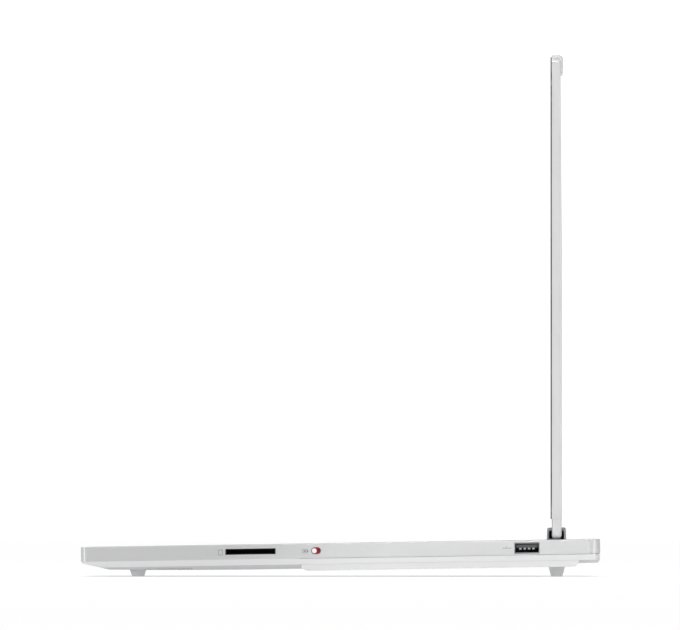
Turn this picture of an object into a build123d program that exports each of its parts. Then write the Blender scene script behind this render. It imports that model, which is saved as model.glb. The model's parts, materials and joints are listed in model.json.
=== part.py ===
from build123d import *
import math
import os

# Sixteen-inch laptop computer, lid standing at a right angle to the table.
# Millimetres. +X is the computer's own right side, -Y its front edge, +Z up.
# The base is modelled level in its own frame (x, v, w): v runs back along the
# deck from the front edge and w is the height above the deck. It is then
# tilted, because the rear foot is taller than the front one.

# ---- base shell ----
BASE_W = 364.0            # overall width
BASE_D = 276.0            # overall depth along the deck
TILT = 0.905              # deck rise toward the rear, degrees
DECK_FRONT_Z = 15.7       # height of the deck at the front edge
FRONT_Y = -138.047        # front edge of the deck
FRONT_R = 3.0             # plan corner radius, front
REAR_R = 6.0              # plan corner radius, rear
SPLIT_W = -7.7            # joint between top case and bottom cover
DECK_T = 1.5              # deck thickness
WALL_T = 1.2              # side wall thickness
PLATEAU_V = (117.0, 265.0)   # raised intake area under the base
PLATEAU_W = -14.45
PLATEAU_X = 180.2         # its half width at the root, flush with the side wall
PLATEAU_TOP = -11.1       # its root on the side wall
GROOVE_V = 116.0          # the joint opens into a groove behind this line

# ---- lid ----
LID_W = 362.0
PIVOT_V = 252.9
PIVOT_W = 3.4
LID_FRONT = -2.45         # metal rim, ahead of the pivot
LID_BACK_LOW = 2.9        # back face behind the pivot, lower half
LID_BACK_TOP = 2.1        # back face at the top edge
LID_TAPER_S = 147.0       # the back face leans in above this height
LID_TOP_S = 251.6         # top edge above the pivot
STRIP_TOP_S = 7.52        # top of the lower lid strip
LID_BOTTOM_S = 7.6        # foot of the lid cover
BEZEL_FRONT = -3.08
LID_CORNER_R = 1.3
TAB_W = 92.0              # camera housing on the top edge
TAB_S = (246.8, 256.5)
TAB_PROUD = 1.4

# ---- hinges ----
TOWER_X = (128.0, 158.0)  # distance from the middle
TOWER_V = (247.7, 258.1)
TOWER_H = 6.5
NOTCH_CLEAR = 6.35        # notch height above the pivot
STRIP_EDGE_R = 1.6        # keeps the strip clear of the deck as the lid turns
PIN_R = 1.8
PIN_BORE_R = 1.85

# ---- ports and switches ----
CARD_V = (76.8, 103.5)
CARD_W = (-5.3, -2.2)
SWITCH_V = (122.4, 127.6)
SWITCH_H = 3.7
SWITCH_W = -3.85
KNOB_R = 1.3
KNOB_TRAVEL = 2.2
USB_RIGHT_V = 237.1
USB_W = -4.2
USB_OPENING = (13.4, 5.8)
AUDIO_V = 86.0
AUDIO_R = 1.78
JACK_BORE_LENGTH = 9.0

# ---- keyboard ----
KEY_PITCH = 18.1
KEY_GAP = 2.4
KEY_TOP_W = -0.2
KEY_ROW_D = 18.0
FUNCTION_ROW_D = 12.5
KEYS_FRONT_V = 126.5
KEYS_X = -167.0
NUMPAD_X = 107.5
NUMPAD_PITCH = 14.9
KEY_OPENING_V = (125.0, 231.5)
KEY_OPENING_X = 168.5

# ---- touchpad ----
PAD_W = 135.0
PAD_V = (14.0, 98.0)
PAD_X = -30.0

# ---- cooling ----
FAN_X = 112.0
FAN_V = 203.0
FAN_R = 35.0
FAN_W = (-12.4, -6.4)
FIN_V = (256.6, 273.4)
FIN_X = (52.0, 160.0)

MOTHERBOARD_W = (-8.3, -7.1)


def to_base(shape):
    """Move a shape from the deck's own frame to the table frame."""
    return Location((0, FRONT_Y, DECK_FRONT_Z), (TILT, 0, 0)) * shape


def pivot_point():
    """Lid axis in the table frame: (y, z)."""
    tilt = math.radians(TILT)
    y = FRONT_Y + PIVOT_V * math.cos(tilt) - PIVOT_W * math.sin(tilt)
    z = DECK_FRONT_Z + PIVOT_V * math.sin(tilt) + PIVOT_W * math.cos(tilt)
    return y, z


def to_lid(shape):
    """Move a shape from the lid frame (x, t behind, s above the pivot)."""
    y, z = pivot_point()
    return Pos(0, y, z) * shape


def block(x0, x1, y0, y1, z0, z1):
    """Axis-aligned block between two corners."""
    size = (x1 - x0, y1 - y0, z1 - z0)
    middle = ((x0 + x1) / 2, (y0 + y1) / 2, (z0 + z1) / 2)
    return Pos(*middle) * Box(*size)


def side_prism(points, x0, x1):
    """Polygon in (y, z) extruded along x."""
    face = Plane.YZ * Polygon(*points, align=None)
    return Pos(x0, 0, 0) * extrude(face, x1 - x0, dir=(1, 0, 0))


def cross_prism(points, y0, y1):
    """Polygon in (x, z) extruded along y."""
    face = Plane.XZ * Polygon(*points, align=None)
    return Pos(0, y0, 0) * extrude(face, y1 - y0, dir=(0, 1, 0))


def rod(x0, x1, y, z, radius):
    """Cylinder along x."""
    return Pos((x0 + x1) / 2, y, z) * Rot(0, 90, 0) * Cylinder(radius, x1 - x0)


def post(x, y, z0, z1, radius):
    """Cylinder along z."""
    return Pos(x, y, (z0 + z1) / 2) * Cylinder(radius, z1 - z0)


def rounded_plate(x0, x1, y0, y1, z0, z1, radius):
    """Plate with rounded plan corners."""
    plan = Pos((x0 + x1) / 2, (y0 + y1) / 2, z0) * RectangleRounded(x1 - x0, y1 - y0, radius)
    return extrude(plan, z1 - z0)


def group(shapes):
    """Separate solids kept together as one node."""
    solids = []
    for shape in shapes:
        solids.extend(shape.solids())
    return Compound(children=solids)


def mirrored(shape):
    """The same piece on the other side of the middle plane."""
    return mirror(shape, about=Plane.YZ)


def plan_outline(inset, z0, z1):
    """Rounded outline of the base, tighter corners at the front."""
    x = BASE_W / 2 - inset
    body = block(-x, x, inset, BASE_D - inset, z0, z1)
    uprights = body.edges().filter_by(Axis.Z)
    front = [e for e in uprights if e.center().Y < BASE_D / 2]
    rear = [e for e in uprights if e.center().Y > BASE_D / 2]
    body = fillet(front, max(FRONT_R - inset, 0.6))
    rear = [e for e in body.edges().filter_by(Axis.Z) if e.center().Y > BASE_D - REAR_R - 2]
    return fillet(rear, max(REAR_R - inset, 0.6))


# ------------------------------------------------------------------ base

def vent_band(sign):
    """Rear exhaust opening beside the middle, as (x0, x1)."""
    x0, x1 = FIN_X
    return (x0, x1) if sign > 0 else (-x1, -x0)


def port_cutters():
    """Openings through the side walls."""
    right = BASE_W / 2
    cutters = [
        block(right - 3, right + 1, CARD_V[0], CARD_V[1], CARD_W[0], CARD_W[1]),
        Pos(right - 3, sum(SWITCH_V) / 2, SWITCH_W) * stadium(SWITCH_V[1] - SWITCH_V[0], SWITCH_H, 4),
        port_hole(right, USB_RIGHT_V, USB_W, USB_OPENING[0], USB_OPENING[1]),
        port_hole(-right, 108.0, USB_W, USB_OPENING[0], USB_OPENING[1]),
        port_hole(-right, 134.0, USB_W, 9.0, 3.3),
        port_hole(-right, 148.0, USB_W, 9.0, 3.3),
        port_hole(-right, 172.0, USB_W, 15.2, 5.7),
        Pos(-right, AUDIO_V, USB_W) * Rot(0, 90, 0) * Cylinder(2.9, 6),
        port_hole(-right, 233.0, USB_W, 12.2, 5.9),
    ]
    return cutters


def port_hole(x, v, w, width, height):
    """Rectangular hole through one side wall."""
    return block(x - 3, x + 3, v - width / 2, v + width / 2, w - height / 2, w + height / 2)


def make_top_case():
    case = plan_outline(0, SPLIT_W, 0)
    case = fillet([e for e in case.edges() if e.center().Z > -0.01], 0.45)
    case -= plan_outline(WALL_T, SPLIT_W - 1, -DECK_T)
    v0, v1 = KEY_OPENING_V
    case -= rounded_plate(-KEY_OPENING_X, KEY_OPENING_X, v0, v1, -3, 1, 1.5)
    case -= rounded_plate(PAD_X - PAD_W / 2, PAD_X + PAD_W / 2, PAD_V[0], PAD_V[1], -3, 1, 2.5)
    case -= rounded_plate(142.0, 160.0, 237.0, 242.6, -3, 1, 2.4)
    for sign in (-1, 1):
        x0, x1 = sorted((sign * (TOWER_X[0] + 1), sign * (TOWER_X[1] - 1)))
        case -= block(x0, x1, TOWER_V[0] + 1.4, TOWER_V[1] - 1.4, -3, 1)
        x0, x1 = vent_band(sign)
        case -= block(x0, x1, BASE_D - 2, BASE_D + 1, -7.0, -2.2)
    case -= block(-24, 24, 251.0, 255.4, -3, 1)
    for cutter in port_cutters():
        case -= cutter
    return case


def bottom_profile():
    """Side outline of the bottom cover without the plateau: (v, w)."""
    return [(0.25, SPLIT_W), (0.5, -8.4), (1.4, -8.9), (15.0, -12.2), (21.0, -12.3),
            (37.0, -12.7), (63.0, -13.1), (90.0, -13.3), (258.0, -13.3),
            (262.0, -12.6), (BASE_D - 1.4, -12.6), (BASE_D - 0.2, -11.2), (BASE_D - 0.2, SPLIT_W)]


def bottom_inner_profile():
    """Inner outline of the bottom cover: (v, w)."""
    return [(1.6, SPLIT_W + 1), (1.6, -8.3), (4.0, -8.6), (15.6, -11.1), (37.0, -11.5),
            (90.0, -12.1), (257.6, -12.1), (261.6, -11.5), (BASE_D - 1.4, -11.5),
            (BASE_D - 1.4, SPLIT_W + 1)]


def make_bottom_cover():
    half = BASE_W / 2
    section = [(half - 0.05, SPLIT_W), (half - 1.7, -11.0), (half - 7.0, -13.4), (half - 8.0, -14.0)]
    section += [(-x, z) for x, z in reversed(section)]
    shell = side_prism(bottom_profile(), -half, half)
    shell &= cross_prism(section, -1, BASE_D + 1)
    shell &= plan_outline(0.05, -20, 0)
    inner = [(half - 1.4, SPLIT_W + 1), (half - 1.4, -8.2), (half - 3.0, -10.6), (half - 8.5, -12.5)]
    inner += [(-x, z) for x, z in reversed(inner)]
    hollow = side_prism(bottom_inner_profile(), -half, half)
    hollow &= cross_prism(inner, -1, BASE_D + 1)
    hollow &= plan_outline(1.4, -20, 0)
    shell -= hollow
    shell += intake_plateau()
    v0, v1 = PLATEAU_V
    shell -= block(12.7 - PLATEAU_X, PLATEAU_X - 12.7, v0 + 3.4, v1 - 7.4, PLATEAU_W + 1.2, -11)
    shell -= groove_cutter()
    for cutter in intake_slots() + speaker_slots() + screw_sinks():
        shell -= cutter
    return shell


def intake_plateau():
    """Raised, bevelled area that carries the intake slots and the rear foot."""
    v0, v1 = PLATEAU_V
    side = [(v0, PLATEAU_TOP), (v0, -13.2), (v0 + 3.0, PLATEAU_W), (v1 - 2.6, PLATEAU_W),
            (v1 - 0.4, -12.6), (v1 - 0.4, PLATEAU_TOP)]
    plateau = side_prism(side, -PLATEAU_X, PLATEAU_X)
    section = [(PLATEAU_X, PLATEAU_TOP), (PLATEAU_X - 1.3, PLATEAU_W)]
    section += [(-x, z) for x, z in reversed(section)]
    return plateau & cross_prism(section, v0 - 1, v1 + 1)


def groove_cutter():
    """Narrow shadow line between the two halves of the shell."""
    outer = block(-BASE_W, BASE_W, GROOVE_V, BASE_D + 5, SPLIT_W - 0.32, SPLIT_W + 0.01)
    return outer - plan_outline(0.55, -12, 0)


def intake_slots():
    """Slots under the two fans."""
    slots = []
    for side in (-1, 1):
        for column in range(14):
            for row in range(3):
                x = side * FAN_X + (column - 6.5) * 5.0
                v = FAN_V + (row - 1) * 21.0
                slots.append(block(x - 1.1, x + 1.1, v - 9, v + 9, -16, -11))
    return slots


def speaker_slots():
    """Fine speaker openings in the lower side bevel near the front corners."""
    slots = []
    for side in (-1, 1):
        for index in range(15):
            v = 34.0 + index * 1.7
            x0, x1 = sorted((side * (BASE_W / 2 - 6.4), side * (BASE_W / 2 - 4.0)))
            slots.append(block(x0, x1, v, v + 0.8, -16, -11))
    return slots


def screw_places():
    """Bottom screws: (x, v, w of the cover's outer face)."""
    places = []
    for x in (-160.0, 0.0, 160.0):
        places.append((x, 22.0, -12.33))
        places.append((x, 125.5, PLATEAU_W))
        places.append((x, 268.5, -12.6))
    return places


def screw_sinks():
    """Clearance for the screw heads and shanks."""
    sinks = []
    for x, v, w in screw_places():
        sinks.append(post(x, v, w - 1, w + 0.55, 2.6))
        sinks.append(post(x, v, w - 1, w + 3, 1.15))
    return sinks


def make_bottom_screws():
    screws = []
    for x, v, w in screw_places():
        head = post(x, v, w + 0.1, w + 0.5, 2.4)
        recess = post(x, v, w - 1, w + 0.3, 0.8)
        shank = post(x, v, w + 0.5, w + 2.6, 1.0)
        screws.append(head - recess + shank)
    return group(screws)


def make_rear_grille():
    """Slatted exhaust grilles in the two rear openings."""
    grilles = []
    for side in (-1, 1):
        x0, x1 = vent_band(side)
        bar = block(x0, x1, BASE_D - 1.6, BASE_D - 0.5, -7.0, -2.2)
        count = 18
        step = (x1 - x0) / count
        for index in range(count):
            x = x0 + (index + 0.5) * step
            bar -= block(x - step / 2 + 0.5, x + step / 2 - 0.5, BASE_D - 3, BASE_D + 1, -6.3, -2.9)
        grilles.append(bar)
    return group(grilles)


def table_point(v, w):
    """Table-frame (y, z) of a point given in the deck's frame."""
    tilt = math.radians(TILT)
    y = FRONT_Y + v * math.cos(tilt) - w * math.sin(tilt)
    return y, DECK_FRONT_Z + v * math.sin(tilt) + w * math.cos(tilt)


def outline_height(v, outline):
    """Height of an outline at v, between its corners."""
    for (v0, w0), (v1, w1) in zip(outline, outline[1:]):
        if v0 <= v <= v1:
            return w0 + (w1 - w0) * (v - v0) / (v1 - v0)
    raise ValueError("outside the outline")


def foot_section(v, heights, top_width, floor_width):
    """Foot outline in the table frame, standing on z = 0."""
    front = table_point(v - top_width / 2, heights[0])
    rear = table_point(v + top_width / 2, heights[1])
    middle = (front[0] + rear[0]) / 2
    return [front, rear, (middle + floor_width / 2, 0.0), (middle - floor_width / 2, 0.0)]


def make_front_foot():
    v, width = 27.7, 8.2
    outline = bottom_profile()
    heights = (outline_height(v - width / 2, outline), outline_height(v + width / 2, outline))
    return side_prism(foot_section(v, heights, width, 5.6), -32, 32)


def make_rear_foot():
    return side_prism(foot_section(252.8, (PLATEAU_W, PLATEAU_W), 8.7, 6.0), -150, 150)


# ------------------------------------------------------------- inside

def make_motherboard():
    """Main board, cut back around the two fans and the battery."""
    low, high = MOTHERBOARD_W
    board = block(-170, 170, 128, 256.4, low, high)
    for side in (-1, 1):
        board -= post(side * FAN_X, FAN_V, -20, 0, FAN_R + 2.2)
        x0, x1 = sorted((side * (FAN_X - FAN_R - 2.2), side * (FAN_X + FAN_R + 2.2)))
        board -= block(x0, x1, FAN_V, 300, -20, 0)
        x0, x1 = sorted((side * 162.0, side * 172.0))
        board -= block(x0, x1, 244, 300, -20, 0)
    return board


def make_processor_chips():
    """Processor and graphics packages on the under side of the main board."""
    low = MOTHERBOARD_W[0]
    chips = [block(-52, -17, 186, 216, low - 1.6, low), block(16, 51, 182, 217, low - 1.6, low)]
    for index in range(3):
        chips.append(block(18 + index * 12, 27 + index * 12, 222, 234, low - 1.1, low))
    return group(chips)


def make_heat_pipes():
    """Copper plate over both chips with pipes to the two fin stacks."""
    top = MOTHERBOARD_W[0] - 1.6
    plate = block(-56, 55, 180, 219, top - 0.9, top)
    pipes = plate
    for side in (-1, 1):
        for index in range(2):
            v = 244.0 + index * 7.0
            x0, x1 = sorted((side * 30.0, side * 158.0))
            pipes += block(x0, x1, v, v + 5.6, top - 2.5, top - 0.9)
        x0, x1 = sorted((side * 30.0, side * 44.0))
        pipes += block(x0, x1, 184, 256.6, top - 2.5, top - 0.9)
    return pipes


def make_fin_stacks():
    """Two stacks of thin fins behind the exhaust openings."""
    stacks = []
    for side in (-1, 1):
        x0, x1 = sorted((side * (FIN_X[0] + 2), side * (FIN_X[1] - 6)))
        stack = block(x0, x1, FIN_V[0], FIN_V[1], -11.0, -10.3)
        stack += block(x0, x1, FIN_V[0], FIN_V[1], -2.8, -2.1)
        count = 26
        step = (x1 - x0) / count
        for index in range(count + 1):
            x = min(x0 + index * step, x1 - 0.4)
            stack += block(x, x + 0.4, FIN_V[0], FIN_V[1], -11.0, -2.1)
        stacks.append(stack)
    return group(stacks)


def make_fan_housing(side):
    """Fan housing with a round intake and a rear outlet."""
    x = side * FAN_X
    low, high = FAN_W
    wall = 0.8
    body = post(x, FAN_V, low, high, FAN_R) + block(x - FAN_R, x + FAN_R, FAN_V, 241.5, low, high)
    body -= post(x, FAN_V, low + wall, high - wall, FAN_R - wall)
    body -= block(x - FAN_R + wall, x + FAN_R - wall, FAN_V, 250, low + wall, high - wall)
    body -= post(x, FAN_V, low - 1, low + wall + 1, FAN_R - 13)
    body += post(x, FAN_V, high - wall - 3.0, high - wall, 1.5)
    for angle in (90, 210, 330):
        lug_x = x + (FAN_R + 1.2) * math.cos(math.radians(angle))
        lug_v = FAN_V + (FAN_R + 1.2) * math.sin(math.radians(angle))
        if angle != 90:
            lug = post(lug_x, lug_v, MOTHERBOARD_W[1], high, 2.6) - post(lug_x, lug_v, low, high + 1, 1.0)
            body += lug - post(x, FAN_V, low - 1, high + 1, FAN_R - wall)
    return body


def make_fan_rotor(side):
    """Hub on the fan spindle with curved blades."""
    x = side * FAN_X
    low, high = FAN_W
    floor = low + 1.3
    hub = post(x, FAN_V, floor, high - 1.3, 12.5)
    blades = hub
    count = 23
    for index in range(count):
        blade = Pos(21.5, 0, 0) * Rot(0, 0, 24) * Box(21.5, 0.7, high - low - 3.0)
        turned = Rot(0, 0, index * 360 / count) * blade
        blades += Pos(x, FAN_V, (low + high) / 2) * turned
    ring = post(x, FAN_V, high - 2.0, high - 1.5, 31.5) - post(x, FAN_V, low, high, 29.5)
    blades += ring
    return blades - post(x, FAN_V, floor - 1, high, 1.55)


def make_battery():
    """Four battery cells side by side with a control strip."""
    cells = []
    for index in range(4):
        x0 = -128 + index * 64.2
        cells.append(rounded_plate(x0, x0 + 63.2, 26, 116, -10.8, -4.6, 1.5))
    cells.append(block(-126, 126, 116.4, 122, -9.5, -5.0))
    return group(cells)


def make_drives():
    """Two solid state drive sticks."""
    sticks = []
    low = MOTHERBOARD_W[0]
    for x in (-20.0, 20.0):
        board = block(x - 11, x + 11, 131, 176, low - 1.8, low - 1.0)
        board += block(x - 11, x + 11, 172, 177.5, low - 2.4, low)
        board += block(x - 9, x + 9, 134, 146, low - 2.6, low - 1.8)
        board += block(x - 9, x + 9, 150, 168, low - 2.6, low - 1.8)
        sticks.append(board)
    return group(sticks)


def make_memory():
    """Two memory modules in their sockets."""
    modules = []
    low = MOTHERBOARD_W[0]
    for x in (-125.0, 55.0):
        module = block(x, x + 66, 131, 158, low - 1.8, low - 0.9)
        module += block(x, x + 66, 158, 164, low - 2.6, low)
        for index in range(4):
            module += block(x + 3 + index * 16, x + 14 + index * 16, 136, 152, low - 2.8, low - 1.8)
        modules.append(module)
    return group(modules)


def make_wireless_card():
    low = MOTHERBOARD_W[0]
    card = block(136, 158, 132, 160, low - 1.5, low - 0.8) + block(136, 158, 158, 162, low - 2.2, low)
    return card + block(139, 155, 136, 154, low - 2.6, low - 1.5)


def make_speaker(side):
    """Sealed speaker box in the front corner with a round driver."""
    x0, x1 = sorted((side * 136.0, side * 171.0))
    box = rounded_plate(x0, x1, 30, 74, -10.6, -4.4, 2.0)
    return box + post(side * 153.5, 50, -11.0, -10.6, 12.5)


def make_keyboard_plate():
    """Backplate under the keys."""
    v0, v1 = KEY_OPENING_V
    half = KEY_OPENING_X + 0.9
    plate = block(-half, half, v0 - 3, v1 + 2.5, -4.8, -4.2)
    for rail_v in (v0 - 3, v1 + 1.3):
        plate += block(-half + 6, half - 6, rail_v, rail_v + 1.2, -4.2, -DECK_T)
    return plate - block(half - 4.5, half + 1, v1 - 2, v1 + 5, -6, 0)


def make_touchpad_board():
    """Support tray the touchpad is hinged on."""
    x0, x1 = PAD_X - PAD_W / 2, PAD_X + PAD_W / 2
    tray = block(x0 - 4, x1 + 4, PAD_V[0] + 11, PAD_V[1] + 4, -4.4, -3.8)
    rail = block(x0 - 4, x1 + 4, PAD_V[1] + 1.0, PAD_V[1] + 4, -3.8, -DECK_T)
    return tray + rail


def make_touchpad():
    """Click pad: smooth plate with a board on its under side."""
    x0, x1 = PAD_X - PAD_W / 2, PAD_X + PAD_W / 2
    gap = 0.35
    plate = rounded_plate(x0 + gap, x1 - gap, PAD_V[0] + gap, PAD_V[1] - gap, -1.5, -0.15, 2.2)
    board = block(x0 + 4, x1 - 4, PAD_V[0] + 3, PAD_V[1] - 3, -2.6, -1.5)
    return plate + board


def make_power_button():
    """Stadium-shaped button right of the keyboard's rear edge."""
    cap = rounded_plate(142.35, 159.65, 237.35, 242.25, -2.6, -0.1, 2.2)
    return cap


# -------------------------------------------------------------- ports

def shell_port(x_face, depth, v, w, width, height, wall):
    """Open-fronted metal port shell behind a side wall."""
    side = 1 if x_face > 0 else -1
    x0, x1 = sorted((x_face, x_face - side * depth))
    body = block(x0, x1, v - width / 2 - wall, v + width / 2 + wall,
                 w - height / 2 - wall, w + height / 2 + wall)
    i0, i1 = sorted((x_face + side, x_face - side * (depth - 1.0)))
    return body - block(i0, i1, v - width / 2, v + width / 2, w - height / 2, w + height / 2)


def make_usb_a(side, v):
    """Full-size USB socket with tongue and four contacts."""
    face = side * (BASE_W / 2 - WALL_T)
    shell = shell_port(face, 14.0, v, USB_W, 12.6, 4.7, 0.3)
    x0, x1 = sorted((face - side * 1.6, face - side * 13.2))
    tongue = block(x0, x1, v - 5.6, v + 5.6, USB_W + 0.15, USB_W + 1.9)
    contacts = []
    for offset in (-3.5, -1.15, 1.15, 3.5):
        c0, c1 = sorted((face - side * 2.0, face - side * 10.5))
        contacts.append(block(c0, c1, v + offset - 0.55, v + offset + 0.55, USB_W - 0.15, USB_W + 0.15))
    socket = shell + tongue
    for contact in contacts:
        socket += contact
    return socket


def make_usb_c():
    """Two small reversible sockets, each with a centre tongue."""
    sockets = []
    face = -(BASE_W / 2 - WALL_T)
    for v in (134.0, 148.0):
        shell = shell_port(face, 8.0, v, USB_W, 8.4, 2.7, 0.3)
        sockets.append(shell + block(face + 1.5, face + 7.5, v - 3.3, v + 3.3, USB_W - 0.35, USB_W + 0.35))
    return group(sockets)


def make_hdmi():
    face = -(BASE_W / 2 - WALL_T)
    shell = shell_port(face, 11.0, 172.0, USB_W, 14.2, 4.5, 0.4)
    return shell + block(face + 1.6, face + 10.5, 166.5, 177.5, USB_W - 0.9, USB_W + 0.5)


def make_power_inlet():
    """Flat rectangular power socket with a centre blade."""
    face = -(BASE_W / 2 - WALL_T)
    shell = shell_port(face, 10.6, 233.0, USB_W, 11.2, 4.5, 0.4)
    return shell + block(face + 1.6, face + 10.0, 231.4, 234.6, USB_W - 0.5, USB_W + 0.5)


def make_audio_jack():
    """Round jack barrel behind the left wall."""
    face = -(BASE_W / 2 - WALL_T)
    barrel = rod(face, face + 11.5, AUDIO_V, USB_W, 2.65)
    return barrel - rod(face - 1, face + JACK_BORE_LENGTH, AUDIO_V, USB_W, AUDIO_R)


def make_card_reader():
    """Card slot housing with a row of contacts."""
    face = BASE_W / 2 - WALL_T
    v = sum(CARD_V) / 2
    w = sum(CARD_W) / 2
    width = CARD_V[1] - CARD_V[0]
    shell = shell_port(face, 24.0, v, w, width - 1.0, 2.4, 0.35)
    for index in range(9):
        c = CARD_V[0] + 3.0 + index * 2.6
        shell += block(face - 12.0, face - 1.2, c - 0.5, c + 0.5, w - 1.2, w - 0.95)
    return shell


def stadium(length, height, thickness):
    """Stadium outline in (y, z) with its thickness along x."""
    return extrude(Plane.YZ * SlotOverall(length, height), thickness)


def make_switch_housing():
    """Body of the camera shutter switch, with its floor set back in the wall's opening."""
    face = BASE_W / 2
    v = sum(SWITCH_V) / 2
    length = SWITCH_V[1] - SWITCH_V[0]
    floor = Pos(face - WALL_T - 0.1, v, SWITCH_W) * stadium(length - 0.04, SWITCH_H - 0.04, 0.45)
    back = block(face - 5.0, face - WALL_T, SWITCH_V[0] - 1.5, SWITCH_V[1] + 1.5,
                 SWITCH_W - 2.6, SWITCH_W + 2.2)
    housing = floor + back
    knob_v = knob_centre()
    housing -= block(face - 3.2, face, knob_v - 1.0, knob_v + KNOB_TRAVEL + 1.0,
                     SWITCH_W - 0.9, SWITCH_W + 0.9)
    return housing


def knob_centre():
    return SWITCH_V[0] + KNOB_R + 0.35


def make_switch_knob():
    """Round thumb knob on a small stem."""
    face = BASE_W / 2
    knob = rod(face - 0.5, face, knob_centre(), SWITCH_W, KNOB_R)
    stem = block(face - 2.7, face - 0.5, knob_centre() - 0.65, knob_centre() + 0.65,
                 SWITCH_W - 0.55, SWITCH_W + 0.55)
    return knob + stem


# ----------------------------------------------------------- keyboard

def keycap(x0, x1, v0, v1):
    """Low dished key with a guide block under it."""
    gap = KEY_GAP / 2
    cap = rounded_plate(x0 + gap, x1 - gap, v0 + gap, v1 - gap, KEY_TOP_W - 1.5, KEY_TOP_W, 1.2)
    middle_x = (x0 + x1) / 2
    middle_v = (v0 + v1) / 2
    stem_x = min(4.0, (x1 - x0) / 2 - 3)
    stem_v = min(3.5, (v1 - v0) / 2 - 2.5)
    stem = block(middle_x - stem_x, middle_x + stem_x, middle_v - stem_v, middle_v + stem_v,
                 KEY_TOP_W - 2.2, KEY_TOP_W - 1.5)
    return cap + stem


def row_v(index):
    """Front and rear edge of a key row; row 0 is nearest the user."""
    v0 = KEYS_FRONT_V + index * KEY_ROW_D
    depth = FUNCTION_ROW_D if index == 5 else KEY_ROW_D
    return v0, v0 + depth


# Key widths in units, from left to right.
ROW_UNITS = [
    [1.25, 1, 1, 1.15, 5.35, 1.15, 1.1, 1, 1, 1],
    [2.25, 1, 1, 1, 1, 1, 1, 1, 1, 1, 1, 2.75],
    [1.75, 1, 1, 1, 1, 1, 1, 1, 1, 1, 1, 1, 2.25],
    [1.5, 1, 1, 1, 1, 1, 1, 1, 1, 1, 1, 1, 1, 1.5],
    [1, 1, 1, 1, 1, 1, 1, 1, 1, 1, 1, 1, 1, 2],
    [15 / 14] * 14,
]


def row_edges(index):
    """Left and right edge of every key in a row."""
    edges = []
    x = KEYS_X
    for units in ROW_UNITS[index]:
        edges.append((x, x + units * KEY_PITCH))
        x += units * KEY_PITCH
    return edges


def row_keys(index, first, last):
    """Keys number first to last-1 of a row."""
    v0, v1 = row_v(index)
    return [keycap(x0, x1, v0, v1) for x0, x1 in row_edges(index)[first:last]]


def make_arrow_keys():
    """Left, up over down, right: at the right end of the front row."""
    v0, v1 = row_v(0)
    middle = (v0 + v1) / 2
    left, centre, right = row_edges(0)[7:10]
    keys = [keycap(left[0], left[1], v0, v1), keycap(right[0], right[1], v0, v1)]
    keys.append(keycap(centre[0], centre[1], v0, middle + 0.6))
    keys.append(keycap(centre[0], centre[1], middle - 0.6, v1))
    return group(keys)


def make_numpad_keys():
    """Four columns of number keys with a tall enter and a wide zero."""
    keys = []
    for row in range(6):
        v0, v1 = row_v(row)
        for column in range(4):
            x0 = NUMPAD_X + column * NUMPAD_PITCH
            if column == 3 and row in (0, 2):
                continue
            if row == 0 and column == 1:
                continue
            width = 2 if (row == 0 and column == 0) else 1
            front = v0 - KEY_ROW_D if (column == 3 and row in (1, 3)) else v0
            keys.append(keycap(x0, x0 + width * NUMPAD_PITCH, front, v1))
    return group(keys)


def make_keyboard_frame():
    """Thin lattice between the keys, hung in the deck opening."""
    v0, v1 = KEY_OPENING_V
    frame = rounded_plate(-KEY_OPENING_X, KEY_OPENING_X, v0, v1, -DECK_T, -0.6, 1.5)
    gap = KEY_GAP / 2 - 0.35
    for row in range(6):
        r0, r1 = row_v(row)
        for index, (x0, x1) in enumerate(row_edges(row)):
            frame -= block(x0 + gap, x1 - gap, r0 + gap, r1 - gap, -3, 1)
        for column in range(4):
            x0 = NUMPAD_X + column * NUMPAD_PITCH
            width = 1
            if row == 0 and column == 0:
                width = 2
            if (row == 0 and column == 1) or (column == 3 and row in (0, 2)):
                continue
            front = r0 - KEY_ROW_D if (column == 3 and row in (1, 3)) else r0
            frame -= block(x0 + gap, x0 + width * NUMPAD_PITCH - gap, front + gap, r1 - gap, -3, 1)
    return frame


# -------------------------------------------------------------- hinges

def make_hinge_tower(side):
    """Arched cap over the hinge barrel, open below and at its outer end."""
    x0, x1 = TOWER_X
    v0, v1 = TOWER_V
    outline = [(v0, 0.0), (v0 + 0.35, TOWER_H), (v1 - 0.15, TOWER_H), (v1, 0.0)]
    cap = side_prism(outline, x0, x1)
    cap = fillet([e for e in cap.edges().filter_by(Axis.X) if e.center().Z > TOWER_H - 0.1], 1.0)
    inner = [(v0 + 1.1, -1.0), (v0 + 1.35, TOWER_H - 0.55), (v1 - 1.25, TOWER_H - 0.55), (v1 - 1.1, -1.0)]
    cap -= side_prism(inner, x0 + 1.0, x1 - 1.0)
    cap -= rod(x0 - 1, x0 + 2, PIVOT_V, PIVOT_W, PIN_R + 0.4)
    end = [(v, min(w, TOWER_H - 1.7)) for v, w in inner]
    cap -= side_prism(end, x1 - 2, x1 + 1)
    tongue = block(x0 + 1.0, x1 - 1.0, v0 + 1.4, v0 + 2.1, -DECK_T, 0.0)
    cap += tongue + block(x0 + 1.0, x1 - 1.0, v0 + 1.0, v0 + 2.1, 0.0, 0.6)
    return cap if side > 0 else mirrored(cap)


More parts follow.
